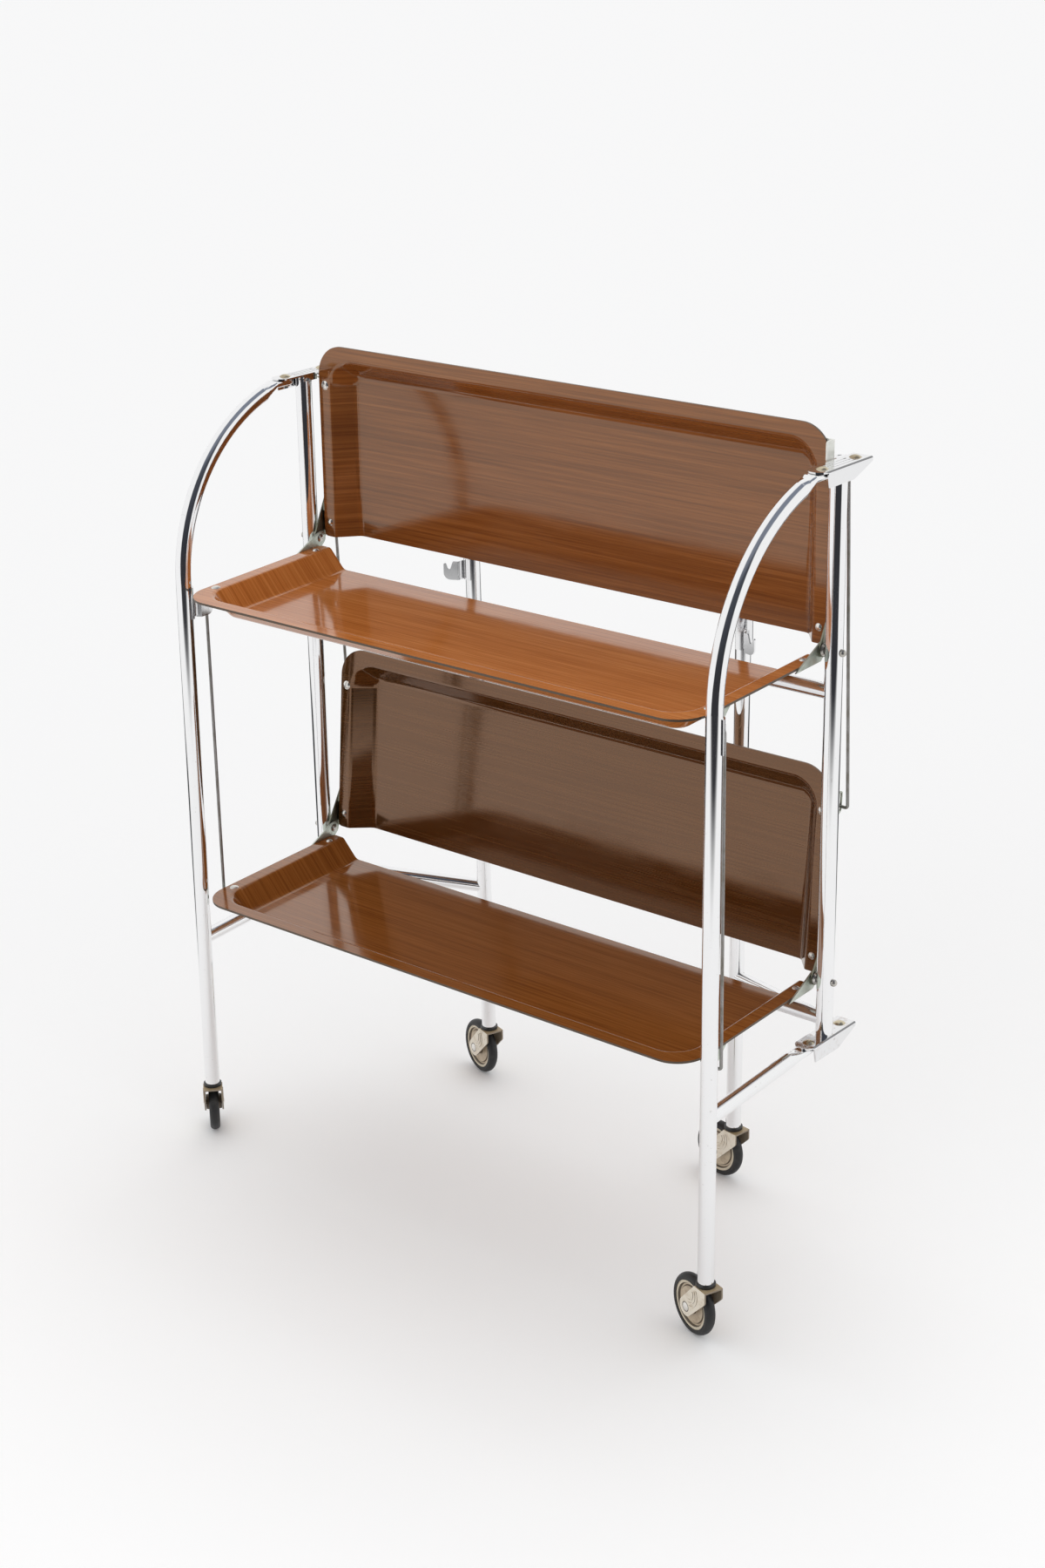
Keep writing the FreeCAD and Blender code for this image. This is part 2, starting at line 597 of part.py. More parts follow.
def round_wire(centre, along, radius):
    """A circle across the direction along, in four arcs that match those of a flattened tube."""
    up = X_AXIS.cross(along).normalize()
    if up.z < 0:
        up = up * -1

    def spot(angle):
        turn = math.radians(angle)
        return centre + X_AXIS * (radius * math.cos(turn)) + up * (radius * math.sin(turn))

    quarter = 360 / 4
    starts = [quarter * (step + 0.5) for step in range(4)]
    return Part.Wire([arc(spot(start), spot(start + quarter / 2), spot(start + quarter)) for start in starts])


def flat_end(level, neck_centre, neck_along, radius):
    """The flattened end of a tube round its pivot, and the neck that leads into the round tube."""
    high = FLAT_THICK / 2
    flat = FLAT_WIDTH / 2 - high
    straight = Part.Face(stadium_wire(0, level)).extrude(VEC(0, FLAT_LENGTH, 0))
    half_section = Part.Face(Part.Wire([
        line(VEC(0, 0, level - high), VEC(flat, 0, level - high)),
        arc(VEC(flat, 0, level - high), VEC(flat + high, 0, level), VEC(flat, 0, level + high)),
        line(VEC(flat, 0, level + high), VEC(0, 0, level + high)),
        line(VEC(0, 0, level + high), VEC(0, 0, level - high))]))
    round_end = half_section.revolve(ORIGIN, Z_AXIS, 360)
    neck = Part.makeLoft([stadium_wire(FLAT_LENGTH, level), round_wire(neck_centre, neck_along, radius)],
                         True, False)
    bore = Part.makeCylinder(PIVOT_D / 2 + RUN_FIT, FLAT_THICK + 2, VEC(0, 0, level - high - 1))
    return straight.fuse([round_end, neck]), bore


def leg_axis(height):
    """Distance of the leg's axis from the pivot at a height."""
    return LEG_REACH - (height - LEG_END_Z) * math.tan(LEAN)


def arch_centre():
    """Centre of the arch, which is tangent to the leg and passes over the pivot at the flat end."""
    level = TOP_PLATE_Z - BRACKET_SHEET - SIDE_GAP - FLAT_THICK / 2
    foot = VEC(0, LEG_REACH, LEG_END_Z)
    up = VEC(0, -math.sin(LEAN), math.cos(LEAN))
    inwards = VEC(0, -math.cos(LEAN), -math.sin(LEAN))
    gap = foot + inwards * ARCH_R - VEC(0, 0, level)
    rise = -gap.dot(up) - math.sqrt(gap.dot(up) ** 2 - gap.dot(gap) + ARCH_R ** 2)
    return foot + inwards * ARCH_R + up * rise, foot + up * rise, level


def leg_tube():
    """The chromed tube of a swing leg: leg, arch, neck and flat end in one bent piece."""
    centre, spring, level = arch_centre()
    neck_out = FLAT_LENGTH + NECK_LENGTH
    neck_spot = VEC(0, neck_out, centre.z + math.sqrt(ARCH_R ** 2 - (neck_out - centre.y) ** 2))
    middle = (spring - centre) + (neck_spot - centre)
    middle = centre + middle.normalize() * ARCH_R
    foot = VEC(0, LEG_REACH, LEG_END_Z)
    path = Part.Wire([line(foot, spring), arc(spring, middle, neck_spot)])
    ray = neck_spot - centre
    along = VEC(0, ray.z, -ray.y).normalize()

    def swept(radius):
        ring = Part.Wire(Part.Circle(foot, spring - foot, radius).toShape())
        return path.makePipeShell([ring], True, False)

    tube = swept(LEG_R)
    end, bore = flat_end(level, neck_spot, along, LEG_R)
    return tube.fuse(end).cut([swept(LEG_R - TUBE_WALL), bore]).removeSplitter()


def leg_bar(radius):
    """A straight bar on the leg's axis, for coping the rail."""
    low = FOOT_PLATE_Z - 4 * RAIL_D
    high = FOOT_PLATE_Z + 4 * RAIL_D
    return rod_between(VEC(0, leg_axis(low), low), VEC(0, leg_axis(high), high), radius)


def lower_rail():
    """The tube from the bottom pivot to the leg, coped to sit on it."""
    level = FOOT_PLATE_Z - BRACKET_SHEET - SIDE_GAP - FLAT_THICK / 2
    neck_spot = VEC(0, FLAT_LENGTH + NECK_LENGTH, level - RAIL_DROP * NECK_LENGTH / LEG_REACH)
    leg_spot = VEC(0, leg_axis(level - RAIL_DROP), level - RAIL_DROP)
    along = (leg_spot - neck_spot).normalize()
    radius = RAIL_D / 2
    end, bore = flat_end(level, neck_spot, along, radius)
    bar = rod_between(neck_spot, leg_spot, radius)
    inside = rod_between(neck_spot, leg_spot, radius - TUBE_WALL)
    return end.fuse(bar).cut([inside, bore, leg_bar(LEG_R)]).removeSplitter()


def bent_strip(spots, thickness, low, high):
    """An upright strip of sheet along a line of (x, y) spots, with rounded bends."""
    half = thickness / 2
    pieces = []
    for start, end in zip(spots, spots[1:]):
        piece = box((0, -half, low), (math.dist(start, end), half, high))
        piece.rotate(ORIGIN, Z_AXIS, math.degrees(math.atan2(end[1] - start[1], end[0] - start[0])))
        piece.translate(VEC(start[0], start[1], 0))
        pieces.append(piece)
    for x, y in spots[1:-1]:
        pieces.append(Part.makeCylinder(half, high - low, VEC(x, y, low)))
    return pieces[0].fuse(pieces[1:])


def cheek_profile():
    """Side view of the hook's cheek, drawn through the whole strap: notch, tip and rounded corners."""
    half = math.radians(NOTCH_ANGLE / 2)
    rod_room = ROD_D / 2 + NOTCH_GAP
    seat = rod_room / math.sin(half)
    base = HOOK_Z - HOOK_BELOW
    tip_out = HOOK_OUT - HOOK_TIP
    tip_top = HOOK_Z + TIP_RISE
    near_top = HOOK_Z + NEAR_RISE
    notch_tip = HOOK_OUT - (seat + TIP_RISE) * math.tan(half)
    notch_near = HOOK_OUT + (seat + NEAR_RISE) * math.tan(half)
    leg_side = HOOK_OUT + HOOK_SPAN
    spots = [(leg_side, base), (tip_out, base), (tip_out, tip_top), (notch_tip, tip_top),
             (HOOK_OUT, HOOK_Z - seat), (notch_near, near_top), (leg_side, near_top)]
    plate = upright_plate(spots, 0, LEG_D)
    tip_round = 0.45 * (notch_tip - tip_out)          # the tip's top is nearly a full round
    for spot, radius in ((spots[1], TIP_ROUND), (spots[2], tip_round), (spots[3], tip_round),
                         (spots[4], rod_room), (spots[5], NEAR_ROUND)):
        corner = [edge for edge in plate.Edges if abs(edge.Length - LEG_D) < 0.01
                  and math.hypot(edge.CenterOfMass.y - spot[0], edge.CenterOfMass.z - spot[1]) < 0.01]
        plate = plate.makeFillet(radius, corner)
    return plate


def hook_strap():
    """The half ring on the post's side of the leg, with the notched cheek that a rod rests in.

    The cheek slants off the ring to the leg's inner side and runs on towards the post.
    """
    base = HOOK_Z - HOOK_BELOW
    axis_out = leg_axis(HOOK_Z)
    grip = LEG_R + HOOK_SHEET
    middle = LEG_R + HOOK_SHEET / 2
    ring = Part.makeCylinder(grip, BAND_HEIGHT, VEC(0, axis_out, base))
    ring = ring.common(box((-grip, axis_out - grip, base), (grip, axis_out, base + BAND_HEIGHT)))
    plan = [(0, axis_out - middle), (middle, axis_out - HOOK_BEND), (middle, HOOK_OUT - 2 * HOOK_TIP)]
    cheek = bent_strip(plan, HOOK_SHEET, base, base + BAND_HEIGHT).common(cheek_profile())
    return ring.fuse(cheek).cut(leg_bar_at_hook()).removeSplitter()


def leg_bar_at_hook():
    """The leaning leg where the strap hugs it."""
    low = HOOK_Z - 2 * BAND_HEIGHT
    high = HOOK_Z + 2 * BAND_HEIGHT
    return rod_between(VEC(0, leg_axis(low), low), VEC(0, leg_axis(high), high), LEG_R)


def ferrule():
    """The black end piece: a lip under the tube and a plug inside it, bored for the kingpin."""
    foot = VEC(0, LEG_REACH, LEG_END_Z)
    lip = Part.makeCylinder(FERRULE_D / 2, FERRULE_LIP, foot - Z_AXIS * FERRULE_LIP)
    plug_axis = VEC(0, -math.sin(LEAN), math.cos(LEAN))
    plug = Part.makeCylinder(LEG_R - TUBE_WALL - RUN_FIT, FERRULE_PLUG, foot, plug_axis)
    bore = Part.makeCylinder(KINGPIN_D / 2 + RUN_FIT, FERRULE_LIP + FERRULE_PLUG + 2,
                             foot - Z_AXIS * (FERRULE_LIP + 1))
    return lip.fuse(plug).cut(bore).removeSplitter()


# ---------------------------------------------------------------- casters
# A caster is drawn under a swivel axis at X = Y = 0, with its wheel trailing towards +X.

def fork_cheek(inner, outer):
    """One side of the fork: square at the plate, slanting back to a round end at the axle."""
    nose = FORK_TOP_Z - FORK_NOSE_DEPTH
    corners = [(-FORK_NOSE, FORK_TOP_Z), (-FORK_NOSE, nose)]
    low = tangent_points((-FORK_NOSE - TRAIL, nose - WHEEL_R), FORK_CHEEK_R)
    high = tangent_points((FORK_BACK - TRAIL, FORK_TOP_Z - WHEEL_R), FORK_CHEEK_R)
    low_spot = min(low, key=lambda spot: spot[1])
    high_spot = max(high, key=lambda spot: spot[0])
    corners += [(low_spot[0] + TRAIL, low_spot[1] + WHEEL_R), (high_spot[0] + TRAIL, high_spot[1] + WHEEL_R),
                (FORK_BACK, FORK_TOP_Z)]
    face = polygon_face([VEC(x, inner, z) for x, z in corners])
    cheek = face.extrude(VEC(0, outer - inner, 0))
    axle = VEC(TRAIL, inner, WHEEL_R)
    cheek = cheek.fuse(rod_between(axle, VEC(TRAIL, outer, WHEEL_R), FORK_CHEEK_R)).removeSplitter()
    corner = [edge for edge in cheek.Edges
              if math.hypot(edge.CenterOfMass.x + FORK_NOSE, edge.CenterOfMass.z - nose) < 0.01]
    return cheek.makeFillet(FORK_NOSE_ROUND, corner)


def cheek_ribs(face_y, side):
    """Curved ribs pressed out of a cheek, one inside the other."""
    ribs = []
    centre = VEC(RIB_BACK, face_y, FORK_TOP_Z - RIB_DROP)
    for index in range(RIB_COUNT):
        radius = RIB_FIRST_R + RIB_PITCH * index
        outer = Part.makeCylinder(radius + RIB_WIDTH / 2, RIB_HEIGHT, ORIGIN, Z_AXIS, RIB_SPREAD)
        inner = Part.makeCylinder(radius - RIB_WIDTH / 2, RIB_HEIGHT, ORIGIN, Z_AXIS, RIB_SPREAD)
        rib = outer.cut(inner)
        rib.rotate(ORIGIN, Z_AXIS, RIB_TURN)
        rib.rotate(ORIGIN, X_AXIS, 90)
        if side > 0:
            rib = mirrored_y(rib)
        rib.translate(centre)
        ribs.append(rib)
    return ribs


def caster_fork():
    """The pressed fork with its kingpin and axle, as three solids."""
    outer = CHEEK_N + FORK_SHEET
    plate = box((-FORK_NOSE, -outer, FORK_TOP_Z - FORK_SHEET), (FORK_BACK, outer, FORK_TOP_Z))
    fork = plate.fuse([fork_cheek(-outer, -CHEEK_N), fork_cheek(CHEEK_N, outer)])
    fork = fork.fuse(cheek_ribs(-outer, -1) + cheek_ribs(outer, 1))
    axle_hole = rod_between(VEC(TRAIL, -outer - 1, WHEEL_R), VEC(TRAIL, outer + 1, WHEEL_R), AXLE_D / 2)
    pin_hole = Part.makeCylinder(KINGPIN_D / 2, FORK_SHEET + 2, VEC(0, 0, FORK_TOP_Z - FORK_SHEET - 1))
    fork = fork.cut([axle_hole, pin_hole]).removeSplitter()
    axle = rod_between(VEC(TRAIL, -outer, WHEEL_R), VEC(TRAIL, outer, WHEEL_R), AXLE_D / 2)
    for side in (-1, 1):
        axle = axle.fuse(dome(AXLE_HEAD_D / 2, AXLE_HEAD_H, VEC(TRAIL, side * outer, WHEEL_R), Y_AXIS * side))
    pin_foot = FORK_TOP_Z - FORK_SHEET
    pin_top = LEG_END_Z + FERRULE_PLUG
    kingpin = Part.makeCylinder(KINGPIN_D / 2, pin_top - pin_foot, VEC(0, 0, pin_foot))
    return Part.makeCompound([fork, kingpin, axle])


def revolved(profile):
    """A ring turned about the axle from (radius, across) corners."""
    face = polygon_face([VEC(TRAIL, across, WHEEL_R + radius) for radius, across in profile])
    return face.revolve(VEC(TRAIL, 0, WHEEL_R), Y_AXIS, 360)


def wheel_hub():
    """The stepped wheel disc: boss on the axle, thin web and a wide rim under the tyre."""
    boss = CHEEK_N - SIDE_GAP
    rim = TYRE_WIDTH / 2 - RIM_INSET
    web = HUB_WEB / 2
    disc = web + HUB_STEP_H
    bore = AXLE_D / 2 + RUN_FIT
    half = [(bore, boss), (HUB_BOSS_D / 2, boss), (HUB_BOSS_D / 2 + HUB_CHAMFER, disc),
            (HUB_STEP_D / 2, disc), (HUB_STEP_D / 2 + HUB_CHAMFER, web), (HUB_R - HUB_RIM, web),
            (HUB_R - HUB_RIM + HUB_CHAMFER, rim), (HUB_R, rim)]
    return revolved(half + [(radius, -across) for radius, across in reversed(half)])


def tyre():
    """The rubber tyre, a flat-sided ring with a rounded tread."""
    half = TYRE_WIDTH / 2
    shoulder = WHEEL_R - TYRE_SHOULDER
    spots = [VEC(TRAIL, -half, WHEEL_R + HUB_R), VEC(TRAIL, half, WHEEL_R + HUB_R),
             VEC(TRAIL, half, WHEEL_R + shoulder), VEC(TRAIL, -half, WHEEL_R + shoulder)]
    crown = VEC(TRAIL, 0, 2 * WHEEL_R)
    outline = Part.Wire([line(spots[0], spots[1]), line(spots[1], spots[2]),
                         arc(spots[2], crown, spots[3]), line(spots[3], spots[0])])
    return Part.Face(outline).revolve(VEC(TRAIL, 0, WHEEL_R), Y_AXIS, 360)


# ---------------------------------------------------------------- placing

def mirrored_x(shape):
    return shape.mirror(ORIGIN, X_AXIS)


def mirrored_y(shape):
    return shape.mirror(ORIGIN, Y_AXIS)


def pair(shape):
    """A right-hand piece with its left-hand twin."""
    return Part.makeCompound([mirrored_x(shape), shape])


def place_leaf(shape, front, tilt, hinge_z):
    """Tilt a level leaf's piece about its hinge pin, on the front or the rear side."""
    placed = shape.copy()
    placed.rotate(ORIGIN, X_AXIS, tilt)
    if front:
        placed = mirrored_y(placed)
    placed.translate(VEC(0, 0, hinge_z))
    return placed


def leaf_point(front, tilt, hinge_z, out, up):
    """Where a point of a level leaf, out and up from its pin, comes to lie: (y, z)."""
    turn = math.radians(tilt)
    depth = out * math.cos(turn) - up * math.sin(turn)
    height = out * math.sin(turn) + up * math.cos(turn)
    return (-depth if front else depth), hinge_z + height


def place_rod(shape, front, upper_tilt, lower_tilt):
    """Hang a rod from the upper leaf's lug, with its lower end in the lower lug's slot."""
    top = leaf_point(front, upper_tilt, UPPER_HINGE_Z, ROD_OUT, -ROD_DROP)
    start = leaf_point(front, lower_tilt, LOWER_HINGE_Z, ROD_OUT, -ROD_DROP)
    further = leaf_point(front, lower_tilt, LOWER_HINGE_Z, ROD_OUT + 1, -ROD_DROP)
    step = (further[0] - start[0], further[1] - start[1])
    gap = (start[0] - top[0], start[1] - top[1])
    along = gap[0] * step[0] + gap[1] * step[1]
    spare = along ** 2 - gap[0] ** 2 - gap[1] ** 2 + TIER_SPACING ** 2
    slide = -along - math.sqrt(spare) if along < -1 else 0
    foot = (start[0] + slide * step[0], start[1] + slide * step[1])
    lean = math.degrees(math.atan2(foot[0] - top[0], top[1] - foot[1]))
    placed = shape.copy()
    placed.rotate(ORIGIN, X_AXIS, lean)
    placed.translate(VEC(0, top[0], top[1]))
    return placed


def place_gate(shape, front, left, swing):
    """Put a leg's piece on its pivot, swung inwards from straight out."""
    placed = shape.copy()
    placed.rotate(ORIGIN, Z_AXIS, -swing)
    if not left:
        placed = mirrored_x(placed)
    if front:
        placed = mirrored_y(placed)
    placed.translate(VEC(-POST_X if left else POST_X, -PIVOT_OFFSET if front else PIVOT_OFFSET, 0))
    return placed


def swivel_axis(front, left, swing):
    """Where a leg's caster swivels, on the floor."""
    turn = math.radians(swing)
    across = LEG_REACH * math.sin(turn)
    back = PIVOT_OFFSET + LEG_REACH * math.cos(turn)
    return VEC(-POST_X + across if left else POST_X - across, -back if front else back, 0)


def place_caster(shape, spot, aim):
    placed = shape.copy()
    placed.rotate(ORIGIN, Z_AXIS, aim)
    placed.translate(spot)
    return placed


def frame_nodes():
    """Posts, crossbars, brackets and the pins that join everything to them."""
    nodes = {}
    for name, side in (("left", -1), ("right", 1)):
        upright = post()
        upright.translate(VEC(side * POST_X, 0, 0))
        nodes[name + "_post"] = upright
        for level, top_z, depth in (("top", TOP_PLATE_Z, TOP_FLANGE_DEPTH),
                                    ("bottom", FOOT_PLATE_Z, FOOT_FLANGE_DEPTH)):
            bracket = corner_bracket(top_z, depth, level == "top")
            if level == "top":
                bracket = grooved(bracket)
            if side < 0:
                bracket = mirrored_x(bracket)
            bracket.translate(VEC(side * POST_X, 0, 0))
            nodes[level + "_" + name + "_bracket"] = bracket
    for name, height in (("upper", UPPER_HINGE_Z), ("lower", LOWER_HINGE_Z)):
        nodes[name + "_crossbar"] = crossbar(height - BAR_DROP)
    hinge_heights = (UPPER_HINGE_Z, LOWER_HINGE_Z)
    nodes["pivot_rivets"] = pivot_rivets()
    nodes["hinge_pins"] = Part.makeCompound([pair(hinge_pin(height)) for height in hinge_heights])
    nodes["hinge_washers"] = Part.makeCompound([pair(hinge_washer(height)) for height in hinge_heights])
    return nodes


def leaf_nodes():
    """The four leaves with their brackets, lugs and rivets, and the four rods."""
    nodes = {}
    tiers = {"upper": UPPER_HINGE_Z, "lower": LOWER_HINGE_Z}
    tilts = {("front", "upper"): -FRONT_DROOP, ("front", "lower"): -FRONT_DROOP,
             ("rear", "upper"): REAR_UPPER_TILT, ("rear", "lower"): REAR_LOWER_TILT}
    for (place, tier), tilt in tilts.items():
        front = place == "front"
        name = place + "_" + tier + "_leaf"
        slot = LUG_SLOT if tier == "lower" else 0
        pieces = {
            name: leaf_panel(),
            name + "_hinges": pair(hinge_bracket(FRONT_EAR_X if front else REAR_EAR_X)),
            name + "_rod_lugs": pair(rod_lug(slot)),
            name + "_rivets": leaf_rivets(),
        }
        if name == "rear_upper_leaf":
            pieces["latch_tab"] = latch_tab()
        for node, shape in pieces.items():
            nodes[node] = place_leaf(shape, front, tilt, tiers[tier])
    for place in ("front", "rear"):
        angles = (tilts[(place, "upper")], tilts[(place, "lower")])
        right = place_rod(connecting_rod(), place == "front", *angles)
        nodes[place + "_right_rod"] = right
        nodes[place + "_left_rod"] = mirrored_x(right)
    return nodes


def gate_nodes():
    """The four swing legs with their rails, hook straps, ferrules and casters."""
    nodes = {}
    pieces = {"leg": leg_tube(), "rail": lower_rail(), "hook": hook_strap(), "ferrule": ferrule()}
    rolling = {"caster_fork": caster_fork(), "wheel": wheel_hub(), "tyre": tyre()}
    swings = {("front", "left"): 0, ("front", "right"): 0,
              ("rear", "left"): REAR_LEFT_SWING, ("rear", "right"): REAR_RIGHT_SWING}
    for (place, side), swing in swings.items():
        corner = place + "_" + side
        where = (place == "front", side == "left", swing)
        for piece, shape in pieces.items():
            nodes[corner + "_" + piece] = place_gate(shape, *where)
        for piece, shape in rolling.items():
            nodes[corner + "_" + piece] = place_caster(shape, swivel_axis(*where), CASTER_AIM[corner])
    return nodes


def main():
    os.makedirs("parts", exist_ok=True)
    for make_nodes in (frame_nodes, leaf_nodes, gate_nodes):
        for name, shape in make_nodes().items():
            shape.exportStep(os.path.join("parts", name + ".step"))


main()
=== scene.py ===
"""Dresses the folding tea trolley: finishes for its CAD pieces, paper floor, light and camera."""

import json
import math

import bpy
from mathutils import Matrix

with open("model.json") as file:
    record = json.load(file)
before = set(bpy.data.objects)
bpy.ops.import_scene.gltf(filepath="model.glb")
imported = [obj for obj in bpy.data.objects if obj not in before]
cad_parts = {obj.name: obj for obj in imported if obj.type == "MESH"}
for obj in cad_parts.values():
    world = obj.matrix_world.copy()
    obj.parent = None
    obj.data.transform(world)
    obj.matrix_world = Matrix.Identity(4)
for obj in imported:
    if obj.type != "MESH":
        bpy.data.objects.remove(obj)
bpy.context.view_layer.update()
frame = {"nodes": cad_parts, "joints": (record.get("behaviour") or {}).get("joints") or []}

CORNERS = ("front_left", "front_right", "rear_left", "rear_right")

# Lengths are in metres, angles in degrees and colours in linear red, green and blue. A pair of
# numbers is where a smooth step starts and ends.

# ---------------------------------------------------------------- camera and sun

CAMERA_SPOT = (1.4856, -1.8158, 1.3008)
CAMERA_TURN = (69.047, 0.991, 39.668)   # about X, Y and Z
CAMERA_LENS = 60.62                     # millimetres, for a long side of SENSOR
SENSOR = 36.0
CAMERA_SEES = (0.05, 200.0)             # nearest and farthest

SUN_STRENGTH = 0.45
SUN_SPREAD = 50.0
SUN_TURN = (-18.0, -15.0, 0.0)          # it comes from behind, above and the left

# ---------------------------------------------------------------- room, as the chrome mirrors it

FLOOR_RADIUS = 30.0
FLOOR_SIDES = 96
PAPER_WHITE = (0.975, 0.975, 0.977)
BARE_FLOOR = (0.035, 0.035, 0.040)
DARK_END = 38.0                         # bearing of the room's dark end, behind the camera
DARK_SPREAD = 0.85                      # slope of the dark end's two sides in the distance
PAPER_END = (1.2, 1.8)                  # the paper's end towards the dark end
PAPER_SIDE = (1.35, 1.65)               # half the width of the bare floor beyond that end
ROLL_START = (-0.40, -0.15)             # behind the trolley the paper is a narrow roll,
ROLL_SIDE = (0.68, 0.80)                # of this half width,
ROLL_WINGS = (1.30, 1.60)               # and further out the floor is lit again
PAPER_GLOW = 0.075                      # what the camera alone sees more of the near paper
GLOW_START = (-0.7, 0.6)                # rising towards the camera

ROOM_WHITE = (0.985, 0.986, 0.988)
ROOM_LIGHT = 0.84                       # the room's light on the trolley
ROOM_SEEN = 0.95                        # its strength for the camera and in the chrome
CEILING_GREY = (0.21, 0.235, 0.29)
CEILING_START = (0.70, 0.80)            # upward part of the direction
CEILING_SIDE = (-0.20, -0.02)           # left of this the ceiling is white, right of it grey
WALL_EDGE = (-0.08, 0.10)
DARK_WALL = [(0.05, (0.035, 0.037, 0.044)), (0.70, (0.065, 0.072, 0.09)),
             (0.90, (0.20, 0.22, 0.27))]  # from the floor up

# ---------------------------------------------------------------- colours and places of finishes

CHROME = (0.925, 0.925, 0.928)
DULL_CHROME = (0.80, 0.80, 0.81)
CHROME_SPECK = (0.34, 0.31, 0.27)
PRESSED_CHROME = (0.86, 0.86, 0.865)
# painted shade for the slanted faces of bends and pressed lines
BEND_SHADE = (0.06, 0.06, 0.065)
BEND_FACE = (0.12, 0.985)               # upward part of the normal on a bend or a pressed line
RUST = (0.27, 0.13, 0.05)
RUST_PIT = (0.12, 0.08, 0.05)

TEAK_EDGE = (0.035, 0.018, 0.010)
TEAK_UNDERSIDE = (0.10, 0.045, 0.02)
SHEET_EDGE = 0.35                       # below this a face no longer looks up or down the leaf

CHEEK = (0.84, 0.77, 0.65)
CHEEK_STAIN = (0.54, 0.42, 0.27)
# painted shade for the cheek faces that don't look squarely out along the axle
CHEEK_SHADE = (0.13, 0.085, 0.045)
FORK_PLATE = ((0.34, 0.24, 0.12), (0.50, 0.40, 0.26))
# painted shadow under the fork's plate
FORK_UNDERSIDE_SHADOW = (0.05, 0.035, 0.02)
PLATE_FACE = 0.8                        # upward part of the normal on the fork's plate
AXLE_HEAD = (0.86, 0.84, 0.80)
AXLE_HEAD_R = 0.0040
HEAD_GROOVE = (0.03, 0.022, 0.015)
HEAD_GROOVE_R = 0.0050                  # outer radius of the darker ring round the axle's head

HUB_CREAM = (0.62, 0.51, 0.37)
HUB_STAIN = (0.32, 0.21, 0.12)
HUB_SPECK = (0.14, 0.09, 0.05)
# painted shade for the walls of the hub's steps
HUB_STEP_SHADE = (0.06, 0.038, 0.022)
HUB_RIM = (0.76, 0.68, 0.53)
HUB_RIM_R = (0.0190, 0.0198)

RUBBER = (0.012, 0.012, 0.013)
RUBBER_DUST = (0.07, 0.066, 0.06)
BLACK_PLASTIC = ((0.010, 0.010, 0.010), (0.03, 0.03, 0.03))

# Each leaf's tilt above level, where its grain starts, and its tones. The four leaves are one
# laminate: their tones differ as painted light and shade, brightest on the front upper leaf,
# darker on the front lower one, darker still on the rear upper one and darkest on the rear lower
# one, whose warmer sheen and higher ior add a painted warm reflection.
TEAK = {
    "front_upper_leaf": dict(tilt=2.2, start=0.0, light=(0.64, 0.235, 0.066),
                             mid=(0.53, 0.173, 0.040), dark=(0.39, 0.112, 0.022)),
    "front_lower_leaf": dict(tilt=2.2, start=3.1, light=(0.355, 0.126, 0.030),
                             mid=(0.285, 0.092, 0.018), dark=(0.20, 0.058, 0.011)),
    "rear_upper_leaf": dict(tilt=89.7, start=5.7, light=(0.285, 0.100, 0.026),
                            mid=(0.215, 0.069, 0.016), dark=(0.15, 0.044, 0.010)),
    "rear_lower_leaf": dict(tilt=85.0, start=8.3, light=(0.094, 0.040, 0.012),
                            mid=(0.069, 0.028, 0.0075), dark=(0.046, 0.018, 0.005),
                            sheen=(1.0, 0.58, 0.36), ior=1.68),
}


# ---------------------------------------------------------------- shader maths

class Value:
    """An output socket that takes part in sums: 1 - mask adds the Math node it needs."""

    def __init__(self, shader, socket):
        self.shader = shader
        self.socket = socket

    def maths(self, operation, *values):
        return self.shader.add("ShaderNodeMath", {"operation": operation},
                               dict(enumerate(values)))

    def __add__(self, other):
        return self.maths("ADD", self, other)

    def __radd__(self, other):
        return self.maths("ADD", other, self)

    def __sub__(self, other):
        return self.maths("SUBTRACT", self, other)

    def __rsub__(self, other):
        return self.maths("SUBTRACT", other, self)

    def __mul__(self, other):
        return self.maths("MULTIPLY", self, other)

    def __rmul__(self, other):
        return self.maths("MULTIPLY", other, self)

    def __gt__(self, other):
        return self.maths("GREATER_THAN", self, other)

    def __lt__(self, other):
        return self.maths("LESS_THAN", self, other)

    def __abs__(self):
        return self.maths("ABSOLUTE", self)


